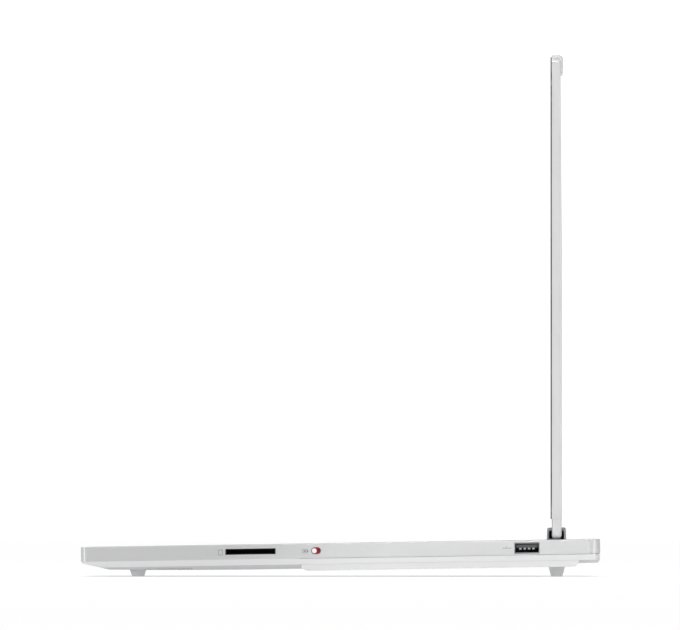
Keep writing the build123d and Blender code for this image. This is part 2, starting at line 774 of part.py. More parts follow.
def make_hinge_bracket(side):
    """Steel arm under the deck with the knuckle the hinge pin turns in."""
    x0, x1 = TOWER_X
    foot = block(x0 + 2, x1 - 3, 244.2, 255.6, -3.3, -DECK_T)
    foot += block(x0 - 30, x0 + 2, 237.5, 255.6, -3.3, -DECK_T)
    for screw_x in (x0 - 24, x0 - 6):
        foot -= post(screw_x, 243, -4, 0, 1.1)
    neck = block(x0 + 4, x1 - 5, PIVOT_V - 2.3, PIVOT_V + 2.3, -3.3, PIVOT_W)
    knuckle = rod(x0 + 4, x1 - 5, PIVOT_V, PIVOT_W, 2.45)
    knuckle &= block(x0, x1, PIVOT_V - 3, PIVOT_V + 3, 0, TOWER_H - 0.65)
    bracket = foot + neck + knuckle - rod(x0, x1, PIVOT_V, PIVOT_W, PIN_BORE_R)
    return bracket if side > 0 else mirrored(bracket)


def make_hinge_arm(side):
    """Hinge pin with its arm up into the lid: lid frame, pivot at the origin."""
    pin = rod(106.0, TOWER_X[1] - 6.0, 0, 0, PIN_R)
    arm = block(106.0, 122.0, -1.3, 1.3, 0, 9.0) + block(106.0, 122.0, 0.3, 1.1, 9.0, 70.0)
    arm += block(106.0, 122.0, -1.3, 1.1, 8.0, 9.0)
    for s in (24.0, 44.0, 62.0):
        arm -= Pos(114, 0.7, s) * Rot(90, 0, 0) * Cylinder(1.2, 4)
    part = pin + arm
    return part if side > 0 else mirrored(part)


# ----------------------------------------------------------------- lid

def lid_back(s):
    """Back face of the lid at height s above the pivot."""
    if s <= LID_TAPER_S:
        return LID_BACK_LOW
    share = (s - LID_TAPER_S) / (LID_TOP_S - LID_TAPER_S)
    return LID_BACK_LOW + share * (LID_BACK_TOP - LID_BACK_LOW)


def make_lid_cover():
    """Outer lid shell with the camera housing on its top edge."""
    half = LID_W / 2
    side = [(LID_FRONT, LID_BOTTOM_S), (LID_BACK_LOW, LID_BOTTOM_S), (LID_BACK_LOW, LID_TAPER_S),
            (LID_BACK_TOP, LID_TOP_S), (LID_FRONT, LID_TOP_S)]
    shell = side_prism(side, -half, half)
    corners = [e for e in shell.edges().filter_by(Axis.Y) if e.center().Z > LID_TOP_S - 1]
    shell = fillet(corners, LID_CORNER_R)
    shell = fillet([e for e in shell.edges().filter_by(Axis.X) if e.center().Z > LID_TOP_S - 1
                    and e.center().Y > 0], 0.9)
    shell += make_tab()
    pocket = [(LID_FRONT - 1, LID_BOTTOM_S - 1), (LID_BACK_LOW - 1.0, LID_BOTTOM_S - 1),
              (LID_BACK_LOW - 1.0, LID_TAPER_S), (LID_BACK_TOP - 1.0, LID_TOP_S - 1.3),
              (LID_FRONT - 1, LID_TOP_S - 1.3)]
    hollow = side_prism(pocket, -half + 1.3, half - 1.3)
    top_corners = [e for e in hollow.edges().filter_by(Axis.Y) if e.center().Z > LID_TOP_S - 3]
    hollow = fillet(top_corners, LID_CORNER_R - 0.6)
    shell -= hollow
    shell -= block(-TAB_W / 2 + 1.2, TAB_W / 2 - 1.2, LID_FRONT - 1, 2.3, TAB_S[0] + 1.2, TAB_S[1] - 1.0)
    return shell


def make_tab():
    """Camera housing: stands above the top edge and behind the back face."""
    back = lid_back(TAB_S[0]) + TAB_PROUD
    outline = [(LID_FRONT, TAB_S[0]), (back - 0.3, TAB_S[0]), (back, TAB_S[0] + 0.5),
               (back, TAB_S[1]), (LID_FRONT, TAB_S[1])]
    tab = side_prism(outline, -TAB_W / 2, TAB_W / 2)
    tab = fillet([e for e in tab.edges().filter_by(Axis.X)
                  if e.center().Z > TAB_S[1] - 0.1 and e.center().Y > 0], 2.6)
    ends = [e for e in tab.edges().filter_by(Axis.Y) if e.center().Z > TAB_S[1] - 0.1]
    return fillet(ends, 0.9)


def make_screen_bezel():
    """Dark frame around the display, standing just proud of the metal rim."""
    half = LID_W / 2 - 1.4
    frame = rounded_plate(-half, half, 0, 242.5, 0, 0.55, 1.6)
    frame += rounded_plate(-TAB_W / 2 + 1.3, TAB_W / 2 - 1.3, 230, 247.6, 0, 0.55, 1.5)
    frame -= block(-172.35, 172.35, 12.0, 227.4, -1, 2)
    frame -= post(0, 238.0, -1, 2, 2.2)
    frame = Pos(0, 0, 7.7) * Rot(90, 0, 0) * frame
    return Pos(0, BEZEL_FRONT + 0.55, 0) * frame


def make_display_panel():
    """Display panel filling the bezel window from behind."""
    panel = block(-175.0, 175.0, BEZEL_FRONT + 0.55, -0.2, 14.0, 238.0)
    return panel + block(-172.2, 172.2, BEZEL_FRONT + 0.25, BEZEL_FRONT + 0.55, 19.85, 235.0)


def make_camera_module():
    """Camera on its strip board inside the housing."""
    strip = block(-40, 40, -1.6, -0.6, 243.6, 248.8)
    lens = Pos(0, -2.0, 245.7) * Rot(90, 0, 0) * Cylinder(1.9, 1.4)
    return strip + lens


def strip_outline(inset):
    """Section of the lower lid strip: (t, s)."""
    front = LID_FRONT + 0.05 + inset
    back = LID_BACK_LOW - 0.15 - inset
    low = -2.5 + inset
    return [(front, STRIP_TOP_S), (front, low), (back, low), (back, STRIP_TOP_S)]


def make_lid_strip():
    """Lower lid strip: hides the hinge pins, notched around the towers."""
    half = LID_W / 2
    strip = side_prism(strip_outline(0), -half, half)
    ends = [e for e in strip.edges().filter_by(Axis.Y) if e.center().Z < 0]
    strip = fillet(ends, 2.6)
    strip = fillet([e for e in strip.edges().filter_by(Axis.X) if e.center().Z < 0], STRIP_EDGE_R)
    wall = strip_outline(0.6)
    hollow = side_prism(wall[1:3] + [(wall[2][0], 9.0), (wall[1][0], 9.0)], -half + 3, half - 3)
    hollow = fillet([e for e in hollow.edges().filter_by(Axis.X) if e.center().Z < 0], 0.8)
    strip -= hollow
    for side in (-1, 1):
        x0, x1 = sorted((side * (TOWER_X[0] - 0.6), side * (TOWER_X[1] + 0.6)))
        strip -= block(x0, x1, -8, 8, -6, NOTCH_CLEAR)
        for wall_x in (x0 - 1.0, x1):
            strip += notch_wall(wall_x)
    return strip - block(-20, 20, -1.5, 1.5, -3, -1)


def notch_wall(x):
    """Closing wall of a tower notch, pierced for the hinge pin."""
    wall = side_prism(strip_outline(0.3), x, x + 1.0)
    wall = fillet([e for e in wall.edges().filter_by(Axis.X) if e.center().Z < 0], 1.1)
    return wall - rod(x - 1, x + 2, 0, 0, PIN_R + 0.02)


def make_display_cable():
    """Flat cable from the display down through the lid strip."""
    return block(-18, 18, -0.1, 0.25, -1.5, 40.0)


def make_antennas():
    """Two thin wireless antennas under the top edge of the lid."""
    return group([block(-150, -90, -0.1, 0.5, 238.6, 248.0), block(90, 150, -0.1, 0.5, 238.6, 248.0)])


def base_nodes():
    nodes = {
        "top_case": make_top_case(),
        "bottom_cover": make_bottom_cover(),
        "rear_grille": make_rear_grille(),
        "bottom_screws": make_bottom_screws(),
        "motherboard": make_motherboard(),
        "processor_chips": make_processor_chips(),
        "heat_pipes": make_heat_pipes(),
        "fin_stacks": make_fin_stacks(),
        "battery_pack": make_battery(),
        "solid_state_drives": make_drives(),
        "memory_modules": make_memory(),
        "wireless_card": make_wireless_card(),
        "keyboard_plate": make_keyboard_plate(),
        "keyboard_frame": make_keyboard_frame(),
        "touchpad_board": make_touchpad_board(),
        "touchpad": make_touchpad(),
        "power_button": make_power_button(),
        "usb_a_port_right": make_usb_a(1, USB_RIGHT_V),
        "usb_a_port_left": make_usb_a(-1, 108.0),
        "usb_c_ports": make_usb_c(),
        "hdmi_port": make_hdmi(),
        "audio_jack": make_audio_jack(),
        "power_inlet": make_power_inlet(),
        "card_reader_slot": make_card_reader(),
        "camera_switch_housing": make_switch_housing(),
        "camera_switch_knob": make_switch_knob(),
        "function_row_keys": group(row_keys(5, 0, 14)),
        "number_row_keys": group(row_keys(4, 0, 13)),
        "backspace_key": group(row_keys(4, 13, 14)),
        "upper_row_keys": group(row_keys(3, 0, 14)),
        "home_row_keys": group(row_keys(2, 0, 12)),
        "enter_key": group(row_keys(2, 12, 13)),
        "lower_row_keys": group(row_keys(1, 0, 12)),
        "left_modifier_keys": group(row_keys(0, 0, 4)),
        "space_bar": group(row_keys(0, 4, 5)),
        "right_modifier_keys": group(row_keys(0, 5, 7)),
        "arrow_keys": make_arrow_keys(),
        "numpad_keys": make_numpad_keys(),
    }
    for name, side in (("left", -1), ("right", 1)):
        nodes[name + "_fan_housing"] = make_fan_housing(side)
        nodes[name + "_fan_rotor"] = make_fan_rotor(side)
        nodes[name + "_speaker"] = make_speaker(side)
        nodes[name + "_hinge_tower"] = make_hinge_tower(side)
        nodes[name + "_hinge_bracket"] = make_hinge_bracket(side)
    return nodes


def lid_nodes():
    return {
        "lid_cover": make_lid_cover(),
        "lid_strip": make_lid_strip(),
        "screen_bezel": make_screen_bezel(),
        "display_panel": make_display_panel(),
        "camera_module": make_camera_module(),
        "display_cable": make_display_cable(),
        "wireless_antennas": make_antennas(),
        "left_hinge_arm": make_hinge_arm(-1),
        "right_hinge_arm": make_hinge_arm(1),
    }


def build_nodes():
    """Every node in the table frame."""
    nodes = {"front_foot": make_front_foot(), "rear_foot": make_rear_foot()}
    for name, shape in base_nodes().items():
        nodes[name] = to_base(shape)
    for name, shape in lid_nodes().items():
        nodes[name] = to_lid(shape)
    return nodes


def write_parts():
    os.makedirs("parts", exist_ok=True)
    for name, shape in build_nodes().items():
        export_step(shape, "parts/" + name + ".step")


if __name__ == "__main__":
    write_parts()
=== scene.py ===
import json
import math

import bmesh
import bpy
from mathutils import Matrix, Vector


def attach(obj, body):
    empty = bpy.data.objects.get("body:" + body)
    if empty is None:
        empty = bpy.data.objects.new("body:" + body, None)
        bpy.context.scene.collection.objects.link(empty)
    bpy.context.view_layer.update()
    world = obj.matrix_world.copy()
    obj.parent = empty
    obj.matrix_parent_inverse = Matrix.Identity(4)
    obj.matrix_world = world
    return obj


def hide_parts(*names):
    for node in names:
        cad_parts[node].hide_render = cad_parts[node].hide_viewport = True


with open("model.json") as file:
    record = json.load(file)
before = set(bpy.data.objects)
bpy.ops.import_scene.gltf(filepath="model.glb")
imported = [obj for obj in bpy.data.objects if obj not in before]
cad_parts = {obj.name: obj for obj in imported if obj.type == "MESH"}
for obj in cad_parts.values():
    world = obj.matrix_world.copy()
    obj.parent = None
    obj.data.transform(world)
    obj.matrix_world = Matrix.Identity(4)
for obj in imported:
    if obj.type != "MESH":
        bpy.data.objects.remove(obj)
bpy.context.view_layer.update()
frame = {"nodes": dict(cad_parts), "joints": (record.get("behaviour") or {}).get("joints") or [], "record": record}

MM = 0.001
PIVOT_V = 252.9           # the lid axis in the deck's frame, mm
PIVOT_W = 3.4
BASE_W = 364.0
TOWER_X = (128.0, 158.0)  # hinge towers on the deck
TOWER_V = (247.7, 258.1)
TOWER_H = 6.5
USB_W = -4.2              # height of the side ports
USB_RIGHT_V = 237.1
USB_LEFT_V = 108.0
PORT_LIP = 1.6            # depth of a port's visible rim

# ------------------------------------------------------------ frames


def joint(name):
    for entry in frame["joints"]:
        if entry["name"] == name:
            return entry
    raise KeyError(name)


PIVOT = Vector(joint("lid_hinge")["pos_m"])
UP = Vector(joint("space_bar_press")["axis"]).normalized()
BACK = Vector((0.0, UP.z, -UP.y))
DECK_ORIGIN = PIVOT - BACK * (PIVOT_V * MM) - UP * (PIVOT_W * MM)


def deck_point(x, v, w):
    """Point in the deck's frame (mm) to the table frame (m)."""
    return Vector((x * MM, 0, 0)) + DECK_ORIGIN + BACK * (v * MM) + UP * (w * MM)


def deck_matrix():
    """Maps deck-frame metres to the table frame."""
    matrix = Matrix.Identity(4)
    for row in range(3):
        matrix[row][0] = (1.0, 0.0, 0.0)[row]
        matrix[row][1] = BACK[row]
        matrix[row][2] = UP[row]
        matrix[row][3] = DECK_ORIGIN[row]
    return matrix


DECK = deck_matrix()
FROM_DECK = DECK.inverted()

# --------------------------------------------------------- materials


class Shader:
    """A Principled material and the few node helpers the recipes share."""

    def __init__(self, name, color, roughness, metallic=0.0):
        self.material = bpy.data.materials.new(name)
        self.material.use_nodes = True
        self.tree = self.material.node_tree
        self.bsdf = self.tree.nodes["Principled BSDF"]
        self.coords = self.tree.nodes.new("ShaderNodeTexCoord").outputs["Object"]
        self.color = color
        self.bsdf.inputs["Roughness"].default_value = roughness
        self.bsdf.inputs["Metallic"].default_value = metallic
        self.roughness = roughness

    def node(self, kind, **settings):
        made = self.tree.nodes.new(kind)
        for key, value in settings.items():
            setattr(made, key, value)
        return made

    def link(self, source, target):
        self.tree.links.new(source, target)

    def math(self, operation, a, b=None):
        made = self.node("ShaderNodeMath", operation=operation)
        for index, value in enumerate((a, b)):
            if value is None:
                continue
            if isinstance(value, (int, float)):
                made.inputs[index].default_value = value
            else:
                self.link(value, made.inputs[index])
        return made.outputs[0]

    def stretched(self, scale):
        mapping = self.node("ShaderNodeMapping")
        mapping.inputs["Scale"].default_value = scale
        self.link(self.coords, mapping.inputs["Vector"])
        return mapping.outputs["Vector"]

    def noise(self, scale, detail=2.0, coords=None):
        """Noise factor; scale is in features per metre."""
        made = self.node("ShaderNodeTexNoise")
        made.inputs["Scale"].default_value = scale
        made.inputs["Detail"].default_value = detail
        self.link(coords or self.coords, made.inputs["Vector"])
        return made.outputs["Fac"]

    def remap(self, factor, low, high):
        """Noise, which stays mostly between 0.3 and 0.7, spread over low to high."""
        made = self.node("ShaderNodeMapRange")
        made.inputs["From Min"].default_value = 0.3
        made.inputs["From Max"].default_value = 0.7
        made.inputs["To Min"].default_value = low
        made.inputs["To Max"].default_value = high
        self.link(factor, made.inputs["Value"])
        return made.outputs["Result"]

    def blend(self, factor, first, second):
        """Colour between two colours or sockets."""
        mix = self.node("ShaderNodeMix", data_type="RGBA")
        self.link(factor, mix.inputs["Factor"])
        for socket, value in ((mix.inputs["A"], first), (mix.inputs["B"], second)):
            if isinstance(value, (tuple, list)):
                socket.default_value = (*value[:3], 1.0)
            else:
                self.link(value, socket)
        return mix.outputs["Result"]

    def set_color(self, socket):
        self.link(socket, self.bsdf.inputs["Base Color"])

    def vary_color(self, scale, amount):
        """Slow, slight drift of the base colour."""
        low = tuple(c * (1 - amount) for c in self.color)
        high = tuple(min(1.0, c * (1 + amount)) for c in self.color)
        tone = self.blend(self.remap(self.noise(scale), 0.0, 1.0), low, high)
        self.set_color(tone)
        return tone

    def vary_roughness(self, scale, amount):
        low, high = self.roughness - amount, self.roughness + amount
        self.link(self.remap(self.noise(scale, 3.0), low, high), self.bsdf.inputs["Roughness"])

    def bump(self, height, distance, strength=1.0, edge=0.0):
        """Bump from a height socket, over softened edges where asked."""
        made = self.node("ShaderNodeBump")
        made.inputs["Strength"].default_value = strength
        made.inputs["Distance"].default_value = distance
        self.link(height, made.inputs["Height"])
        if edge:
            soft = self.node("ShaderNodeBevel", samples=4)
            soft.inputs["Radius"].default_value = edge
            self.link(soft.outputs["Normal"], made.inputs["Normal"])
        self.link(made.outputs["Normal"], self.bsdf.inputs["Normal"])


def blasted_metal(name, color, roughness=0.40, metallic=0.5, grain=5200.0, edge=0.00025):
    """Bead-blasted, anodised metal: very fine grain and a faint tone drift."""
    s = Shader(name, color, roughness, metallic)
    s.vary_color(9.0, 0.012)
    s.vary_roughness(1400.0, 0.04)
    s.bump(s.noise(grain, 2.0), 0.000012, 0.5, edge)
    return s.material


def moulded_plastic(name, color, roughness=0.55, texture=3500.0, depth=0.00002,
                    edge=0.00015, drift=0.04):
    """Moulded plastic with a fine spark-eroded texture."""
    s = Shader(name, color, roughness)
    s.vary_color(60.0, drift)
    s.vary_roughness(900.0, 0.05)
    s.bump(s.noise(texture, 3.0), depth, 0.6, edge)
    return s.material


def rubber(name, color):
    s = Shader(name, color, 0.72)
    s.vary_color(220.0, 0.05)
    s.vary_roughness(700.0, 0.06)
    s.bump(s.noise(2600.0, 4.0), 0.00004, 0.7, 0.0003)
    return s.material


def brushed_metal(name, color, roughness=0.32, along=(20.0, 3000.0, 3000.0)):
    """Bright metal with fine lines along x."""
    s = Shader(name, color, roughness, 1.0)
    lines = s.noise(1.0, 3.0, s.stretched(along))
    s.set_color(s.blend(lines, tuple(c * 0.86 for c in color), tuple(min(1, c * 1.1) for c in color)))
    s.link(s.remap(lines, roughness - 0.08, roughness + 0.1), s.bsdf.inputs["Roughness"])
    s.bump(lines, 0.00001, 0.5)
    return s.material


def copper(name):
    """Bare copper with darker tarnish."""
    s = Shader(name, (0.80, 0.42, 0.26), 0.30, 1.0)
    tarnish = s.remap(s.noise(140.0, 5.0), 0.0, 1.0)
    s.set_color(s.blend(tarnish, (0.83, 0.46, 0.29), (0.55, 0.27, 0.17)))
    s.link(s.remap(s.noise(140.0, 5.0), 0.24, 0.42), s.bsdf.inputs["Roughness"])
    s.bump(s.noise(1800.0, 3.0), 0.00001, 0.4)
    return s.material


def circuit_board(name):
    """Dark solder mask with paler routed tracks showing through."""
    s = Shader(name, (0.02, 0.06, 0.045), 0.38)
    cells = s.node("ShaderNodeTexVoronoi", feature="DISTANCE_TO_EDGE", distance="MANHATTAN")
    cells.inputs["Scale"].default_value = 330.0
    s.link(s.coords, cells.inputs["Vector"])
    tracks = s.math("LESS_THAN", cells.outputs["Distance"], 0.06)
    s.set_color(s.blend(tracks, (0.015, 0.05, 0.038), (0.05, 0.13, 0.085)))
    s.vary_roughness(500.0, 0.05)
    s.bump(tracks, 0.00002, 0.6)
    return s.material


def dark_screen(name):
    """Switched-off display: smooth, nearly black, with faint handling marks."""
    s = Shader(name, (0.006, 0.0065, 0.008), 0.16)
    s.bsdf.inputs["Specular IOR Level"].default_value = 0.5
    s.bsdf.inputs["Coat Weight"].default_value = 0.3
    s.bsdf.inputs["Coat Roughness"].default_value = 0.08
    s.vary_color(25.0, 0.15)
    s.vary_roughness(45.0, 0.03)
    s.bump(s.noise(4000.0, 1.0), 0.000002, 0.3)
    return s.material


def touch_surface(name):
    """Etched pad surface, slightly smoother than the deck."""
    s = Shader(name, (0.63, 0.633, 0.64), 0.36, 0.3)
    s.vary_color(14.0, 0.012)
    s.vary_roughness(70.0, 0.04)
    s.bump(s.noise(6000.0, 1.0), 0.000006, 0.4, 0.0002)
    return s.material


def key_plastic(name, color=(0.23, 0.235, 0.25)):
    """Keycap plastic: fine grain and a roughness that drifts at random."""
    s = Shader(name, color, 0.56)
    s.vary_color(45.0, 0.05)
    s.vary_roughness(120.0, 0.06)
    s.bump(s.noise(4200.0, 2.0), 0.000015, 0.6)
    return s.material


def printed_mark(name, color):
    """Thin printed ink."""
    s = Shader(name, color, 0.5)
    s.vary_color(300.0, 0.05)
    s.bump(s.noise(3000.0, 2.0), 0.000004, 0.3)
    return s.material


LOOKS = {
    "shell": blasted_metal("shell_metal", (0.66, 0.662, 0.667)),
    "hinge_grey": blasted_metal("hinge_paint", (0.36, 0.363, 0.37), 0.45, 0.2),
    "grey_plastic": moulded_plastic("grille_plastic", (0.26, 0.265, 0.27)),
    "black_plastic": moulded_plastic("black_plastic", (0.016, 0.016, 0.018), 0.62),
    "key_plastic": key_plastic("key_plastic"),
    "key_frame": moulded_plastic("key_frame", (0.62, 0.625, 0.635), 0.5),
    "touch_glass": touch_surface("touch_surface"),
    "screen_glass": dark_screen("dark_screen"),
    "steel": brushed_metal("stamped_steel", (0.56, 0.57, 0.59)),
    "port_metal": brushed_metal("plated_shell", (0.42, 0.43, 0.45), 0.36),
    "copper": copper("bare_copper"),
    "fin_metal": brushed_metal("fin_metal", (0.66, 0.67, 0.69), 0.38, (3000.0, 40.0, 3000.0)),
    "circuit_board": circuit_board("circuit_board"),
    "silicon": moulded_plastic("chip_package", (0.07, 0.07, 0.08), 0.3),
    "battery_wrap": moulded_plastic("battery_wrap", (0.025, 0.025, 0.027), 0.42, 1200.0, 0.00003),
    "fan_plastic": moulded_plastic("fan_plastic", (0.035, 0.035, 0.04), 0.5),
    # Pale rubber, made paler still: painted light for the floor bounce the feet should get.
    "foot_rubber": rubber("foot_rubber", (0.88, 0.882, 0.885)),
    "red_plastic": moulded_plastic("red_plastic", (0.50, 0.035, 0.065), 0.45),
    "white_plastic": moulded_plastic("white_plastic", (0.88, 0.88, 0.88), 0.3, depth=0.000008, drift=0.01),
    "cable_film": moulded_plastic("cable_film", (0.03, 0.03, 0.03), 0.35),
}
LEGEND = printed_mark("legend_ink", (0.85, 0.86, 0.88))
SIDE_INK = printed_mark("side_ink", (0.30, 0.30, 0.31))
# Lighter copy of the shell metal for the bottom cover: painted light for the bright floor its tilted sides
# reflect.
LOWER_SHELL_PAINTED_LIGHT = blasted_metal("lower_shell_painted_light", (0.73, 0.732, 0.737), 0.46, 0.35)
# Darker copy of the lower shell for faces looking down: painted shade from the shadowed floor under the computer.
UNDERSIDE_PAINTED_SHADE = blasted_metal("underside_painted_shade", (0.57, 0.573, 0.58), 0.5, 0.1)
# Lighter than the hinge paint: painted light that lifts the shade inside the tower arches.
TOWER_ARCH_PAINTED_LIGHT = moulded_plastic("tower_arch_painted_light", (0.45, 0.45, 0.455), 0.7)
CONTACT_METAL = moulded_plastic("contact_metal", (0.52, 0.51, 0.48), 0.35)
TONGUE_PLASTIC = moulded_plastic("tongue_plastic", (0.10, 0.10, 0.11), 0.5)


def paint_faces(node, look, wanted):
    """Give some of a node's faces a second look; wanted gets the deck-frame centre and normal."""
    obj = frame["nodes"][node]
    place = FROM_DECK @ obj.matrix_world
    obj.data.materials.append(look)
    index = len(obj.data.materials) - 1
    for polygon in obj.data.polygons:
        centre = place @ polygon.center / MM
        normal = (place.to_3x3() @ polygon.normal).normalized()
        if wanted(centre, normal):
            polygon.material_index = index


def inside_port(centre, _normal):
    """Faces of a port that lie behind its mouth, which get painted shade."""
    return abs(centre.x) < BASE_W / 2 - PORT_LIP


def on_tongue(centre, _normal):
    """Faces of a USB socket's tongue, in the upper half of its mouth."""
    depth = BASE_W / 2 - abs(centre.x)
    return 0.1 < centre.z - USB_W < 2.0 and 2.0 < depth < 15.0


def faces_down(_centre, normal):
    """Faces that look more than about 37 degrees below level; on the bottom cover they get painted shade."""
    return normal.z < -0.6


def inside_tower(centre, _normal):
    """Faces of a hinge tower inside its arch, which get painted light."""
    within_v = TOWER_V[0] + 0.9 < centre.y < TOWER_V[1] - 0.8
    within_x = TOWER_X[0] + 0.5 < abs(centre.x) < TOWER_X[1] - 0.05
    return within_v and within_x and centre.z < TOWER_H - 0.3


def paint_cad_nodes():
    """Give every carried-over CAD node the look of its material slot."""
    slots = {entry["node"]: entry["material_slot"] for entry in frame["record"]["subparts"]}
    for name, obj in frame["nodes"].items():
        obj.data.materials.clear()
        obj.data.materials.append(LOOKS[slots[name]])
    # the bottom cover takes the lighter copy of the shell metal, which is painted light
    frame["nodes"]["bottom_cover"].data.materials[0] = LOWER_SHELL_PAINTED_LIGHT
    # port faces behind the mouth turn black: painted shade over the sockets' metal insides
    for name in ("usb_a_port_right", "usb_a_port_left", "usb_c_ports", "hdmi_port", "power_inlet"):
        paint_faces(name, LOOKS["black_plastic"], inside_port)
    # the insides of the tower arches get painted light
    for name in ("left_hinge_tower", "right_hinge_tower"):
        paint_faces(name, TOWER_ARCH_PAINTED_LIGHT, inside_tower)
    for name in ("usb_a_port_right", "usb_a_port_left"):
        paint_faces(name, TONGUE_PLASTIC, on_tongue)
    # faces of the bottom cover that look down get painted shade
    paint_faces("bottom_cover", UNDERSIDE_PAINTED_SHADE, faces_down)


# ------------------------------------------------------------ pieces


def body_of_node(name):
    for body, members in frame["record"]["behaviour"]["bodies"].items():
        if name in members:
            return body
    raise KeyError(name)


def mesh_piece(name, bm, look, body, smooth_angle=35.0):
    """Turn a bmesh in the table frame into a piece that rides on a body."""
    mesh = bpy.data.meshes.new(name)
    bmesh.ops.recalc_face_normals(bm, faces=bm.faces)
    bm.to_mesh(mesh)
    bm.free()
    mesh.materials.append(look)
    obj = bpy.data.objects.new(name, mesh)
    bpy.context.scene.collection.objects.link(obj)
    for polygon in mesh.polygons:
        polygon.use_smooth = True
    mesh.set_sharp_from_angle(angle=math.radians(smooth_angle))
    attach(obj, body)
    return obj


def islands(node):
    """Corner boxes of each separate solid of a node, in the deck's frame, mm."""
    bm = bmesh.new()
    bm.from_mesh(frame["nodes"][node].data)
    bmesh.ops.remove_doubles(bm, verts=bm.verts, dist=1e-6)
    bm.transform(FROM_DECK)
    boxes = []
    seen = set()
    for start in bm.verts:
        if start in seen:
            continue
        stack = [start]
        seen.add(start)
        low, high = start.co.copy(), start.co.copy()
        while stack:
            vert = stack.pop()
            for axis in range(3):
                low[axis] = min(low[axis], vert.co[axis])
                high[axis] = max(high[axis], vert.co[axis])
            for edge in vert.link_edges:
                other = edge.other_vert(vert)
                if other not in seen:
                    seen.add(other)
                    stack.append(other)
        boxes.append((low / MM, high / MM))
    bm.free()
    return boxes


def rounded_loop(x0, x1, v0, v1, radius, segments=5):
    """Points of a rounded rectangle, anticlockwise from above."""
    radius = min(radius, (x1 - x0) / 2 - 0.01, (v1 - v0) / 2 - 0.01)
    corners = ((x1 - radius, v1 - radius, 0), (x0 + radius, v1 - radius, 90),
               (x0 + radius, v0 + radius, 180), (x1 - radius, v0 + radius, 270))
    points = []
    for cx, cv, start in corners:
        for step in range(segments + 1):
            angle = math.radians(start + 90 * step / segments)
            points.append((cx + radius * math.cos(angle), cv + radius * math.sin(angle)))
    return points


def add_ring(bm, points, w):
    """One closed row of vertices at height w, deck frame in mm."""
    return [bm.verts.new(deck_point(x, v, w)) for x, v in points]


def bridge(bm, lower, upper):
    count = len(lower)
    for index in range(count):
        after = (index + 1) % count
        bm.faces.new((lower[index], lower[after], upper[after], upper[index]))


# a keycap's rings from the skirt up and in: height from the top, inset, corner radius, mm
CAP_PROFILE = ((-1.5, 0.0, 1.2), (-0.45, 0.0, 1.2), (-0.2, 0.06, 1.15), (-0.06, 0.2, 1.05),
               (0.0, 0.42, 0.9), (-0.03, 1.1, 0.8), (-0.09, 2.2, 0.9), (-0.14, 3.3, 1.2))
POST_FOOT = -2.2          # the post under a cap, from the top
POST_HEAD = -1.5
LETTER_SIZE = 4.2
WORD_SIZE = 2.7
LEGEND_DROP = 0.045       # legends lie this far below the cap's rim, above its dish


def add_keycap(bm, low, high):
    """A dished cap with rolled edges that fills one CAD key's box."""
    top = high.z
    previous = None
    first = None
    for drop, inset, radius in CAP_PROFILE:
        inset = min(inset, (high.y - low.y) / 2 - 0.6)
        points = rounded_loop(low.x + inset, high.x - inset, low.y + inset, high.y - inset, radius)
        ring = add_ring(bm, points, top + drop)
        if previous:
            bridge(bm, previous, ring)
        else:
            first = ring
        previous = ring
    bm.faces.new(previous)
    bm.faces.new(list(reversed(first)))
    middle = (low + high) / 2
    post_x = min(4.0, (high.x - low.x) / 2 - 1.8)
    post_v = min(3.5, (high.y - low.y) / 2 - 1.3)
    foot = rounded_loop(middle.x - post_x, middle.x + post_x, middle.y - post_v, middle.y + post_v, 0.5, 2)
    lower = add_ring(bm, foot, top + POST_FOOT)
    upper = add_ring(bm, foot, top + POST_HEAD)
    bridge(bm, lower, upper)
    bm.faces.new(list(reversed(lower)))
    bm.faces.new(upper)


def text_mesh(word, size):
    """Flat mesh of a word in the built-in typeface, starting at the origin, in mm."""
    curve = bpy.data.curves.new("word", "FONT")
    curve.body = word
    curve.size = size
    curve.align_x = "LEFT"
    curve.resolution_u = 3
    holder = bpy.data.objects.new("word", curve)
    bpy.context.scene.collection.objects.link(holder)
    bpy.context.view_layer.update()
    mesh = bpy.data.meshes.new_from_object(holder)
    bpy.data.objects.remove(holder)
    bpy.data.curves.remove(curve)
    return mesh


def add_word(bm, word, x, v, w, size):
    """Add a word with its left end at (x, v) on the deck's frame."""
    mesh = text_mesh(word, size)
    local = DECK @ Matrix.Scale(MM, 4) @ Matrix.Translation((x, v, w))
    mesh.transform(local)
    bm.from_mesh(mesh)
    bpy.data.meshes.remove(mesh)


LETTER_ROWS = {
    "function_row_keys": ["esc"] + ["F%d" % n for n in range(1, 13)] + ["del"],
    "number_row_keys": list("`1234567890-="),
    "backspace_key": ["back"],
    "upper_row_keys": ["tab"] + list("QWERTYUIOP[]\\"),
    "home_row_keys": ["caps"] + list("ASDFGHJKL;'"),
    "enter_key": ["enter"],
    "lower_row_keys": ["shift"] + list("ZXCVBNM,./") + ["shift"],
    "left_modifier_keys": ["ctrl", "fn", "alt", "alt"],
    "space_bar": [""],
    "right_modifier_keys": ["alt", "ctrl"],
    "arrow_keys": ["<", "v", "^", ">"],
    "numpad_keys": ["0", ".", "1", "2", "3", "+", "4", "5", "6", "7", "8", "9", "-",
                    "num", "/", "*", "=", "home", "end", "up", "dn"],
}


def key_order(boxes):
    """Front to rear, then left to right."""
    return sorted(boxes, key=lambda box: (round(box[1].y / 3.0), box[0].x))


